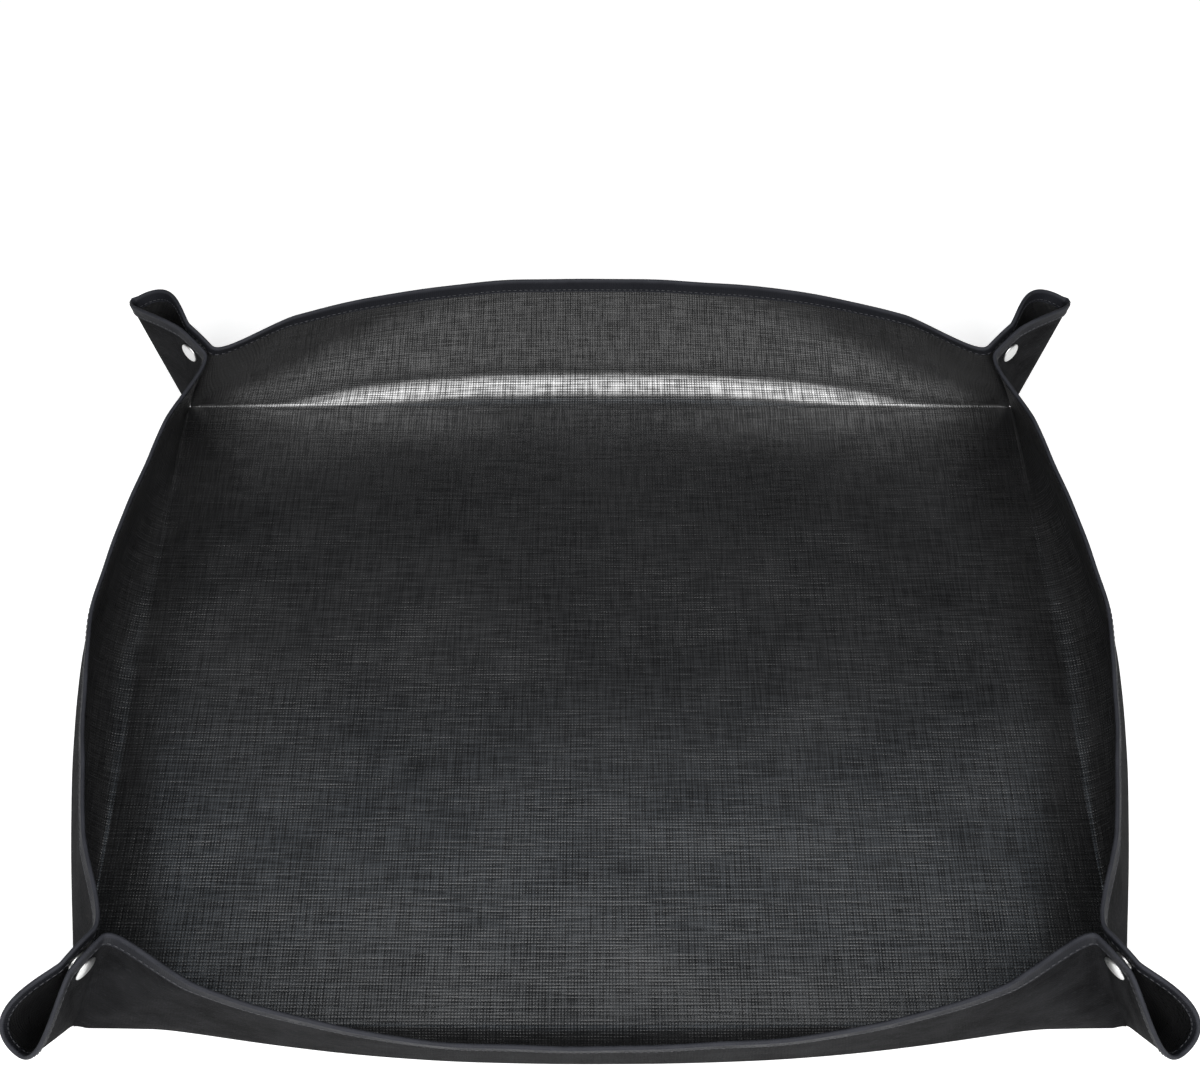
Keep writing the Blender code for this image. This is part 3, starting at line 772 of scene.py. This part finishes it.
SNAP = snap_metal()
WIRE = spring_wire()
patterns = {kind: turn_piece(kind, outline, kind != "cap") for kind, outline in SNAP_PIECES.items()}
for corner in CORNERS.values():
    centre = corner.foot + corner.pinch * (PINCH_REACH - SNAP_BELOW_RIM) + corner.reach * SNAP_OFFSET
    axis = corner.side * hand(corner, WALLS[corner.cap_wall])
    stand = Matrix((corner.pinch, np.cross(axis, corner.pinch), axis)).transposed().to_4x4()
    for kind, pattern in patterns.items():
        piece = pattern.copy()
        piece.data = pattern.data.copy()
        piece.name = corner.name + "_" + kind
        piece.data.transform(Matrix.Translation(centre) @ stand)
        piece.data.materials.append(SNAP)
        bpy.context.scene.collection.objects.link(piece)
        carried_by = corner.cap_wall if kind in ("cap", "socket") else corner.stud_wall
        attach(piece, LEAF_PANELS[corner.name, carried_by].name)
        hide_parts(corner.name + "_snap_" + kind)
    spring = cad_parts[corner.name + "_snap_spring"]
    spring.data.materials.clear()
    spring.data.materials.append(WIRE)
for pattern in patterns.values():
    bpy.data.objects.remove(pattern, do_unlink=True)

# A plain white studio. The floor and all that the camera sees past it are white, and the room that the
# film reflects is dark. A wide soft lamp hangs high in front, so that the bend on the far side shines, a
# smaller one lights the near wall, and a faint blue one stands behind.
GLOW_SEEN = 0.6
GLOW_MIRRORED = 0.22
bpy.ops.mesh.primitive_plane_add(size=30, location=(0, 0, -0.0002))
studio_floor = bpy.context.object
studio_floor.name = "studio_floor"


def studio_white():
    """White where it is seen, but for the object's shadow. It glows for the camera, less in reflections."""
    made, start, feed = start_material(
        "studio_white", Roughness=1.0, Specular_IOR_Level=0.0, Emission_Strength=1.0,
    )
    made.node_tree.nodes["Principled BSDF"].inputs["Base Color"].default_value = (0.9, 0.9, 0.9, 1)
    from_camera = start.node("ShaderNodeLightPath")
    rays = from_camera.socket.node.outputs
    mirrored = Wire(rays["Is Glossy Ray"]).math("MAXIMUM", Wire(rays["Is Transmission Ray"]))
    glow = from_camera * GLOW_SEEN + mirrored * GLOW_MIRRORED
    feed("Emission Color", glow.shade((0, 0, 0), (1, 1, 1)))
    return made


studio_floor.data.materials.append(studio_white())

world = bpy.data.worlds.new("studio")
bpy.context.scene.world = world
world.use_nodes = True
background = world.node_tree.nodes["Background"]
background.inputs["Strength"].default_value = 1.0
sky = Wire(background.outputs[0])
looking = sky.node("ShaderNodeSeparateXYZ", (), {0: sky.node("ShaderNodeTexCoord")})
backward, height = (Wire(looking.socket.node.outputs[place]) for place in (1, 2))
grey_front = backward.fit(-0.45, 0.1, 1, 0) * height.fit(0.35, 0.75, 1, 0)
room = grey_front.shade((0.02, 0.02, 0.021), (0.12, 0.12, 0.12))
from_camera = Wire(sky.node("ShaderNodeLightPath").socket.node.outputs["Is Camera Ray"])
seen = sky.node("ShaderNodeMix", {"data_type": "RGBA"}, {"Factor": from_camera, 6: room, 7: (1, 1, 1, 1)}, 2)
world.node_tree.links.new(seen.socket, background.inputs["Color"])


def add_soft_lamp(name, place, target, size, power, colour=(1, 1, 1)):
    """A flat rectangle of light that faces a point. Sizes are in metres and power in watts."""
    bpy.ops.object.light_add(type="AREA", location=place)
    lamp = bpy.context.object
    lamp.name = name
    lamp.data.shape = "RECTANGLE"
    lamp.data.size, lamp.data.size_y = size
    lamp.data.energy = power
    lamp.data.color = colour
    lamp.rotation_euler = (Vector(target) - Vector(place)).to_track_quat("-Z", "Y").to_euler()


add_soft_lamp("high_lamp", (0, -0.64, 1.38), (0, -0.05, 0.38), (1.8, 1.1), 25)
add_soft_lamp("low_lamp", (0, -1.36, 0.94), (0, -0.85, 0.07), (0.75, 0.95), 7.5)
add_soft_lamp("rear_lamp", (0, 0.42, 1.50), (0, 0.1, 0), (1.6, 0.35), 0.3, (0.60, 0.80, 1))

bpy.context.scene.view_settings.view_transform = "Standard"
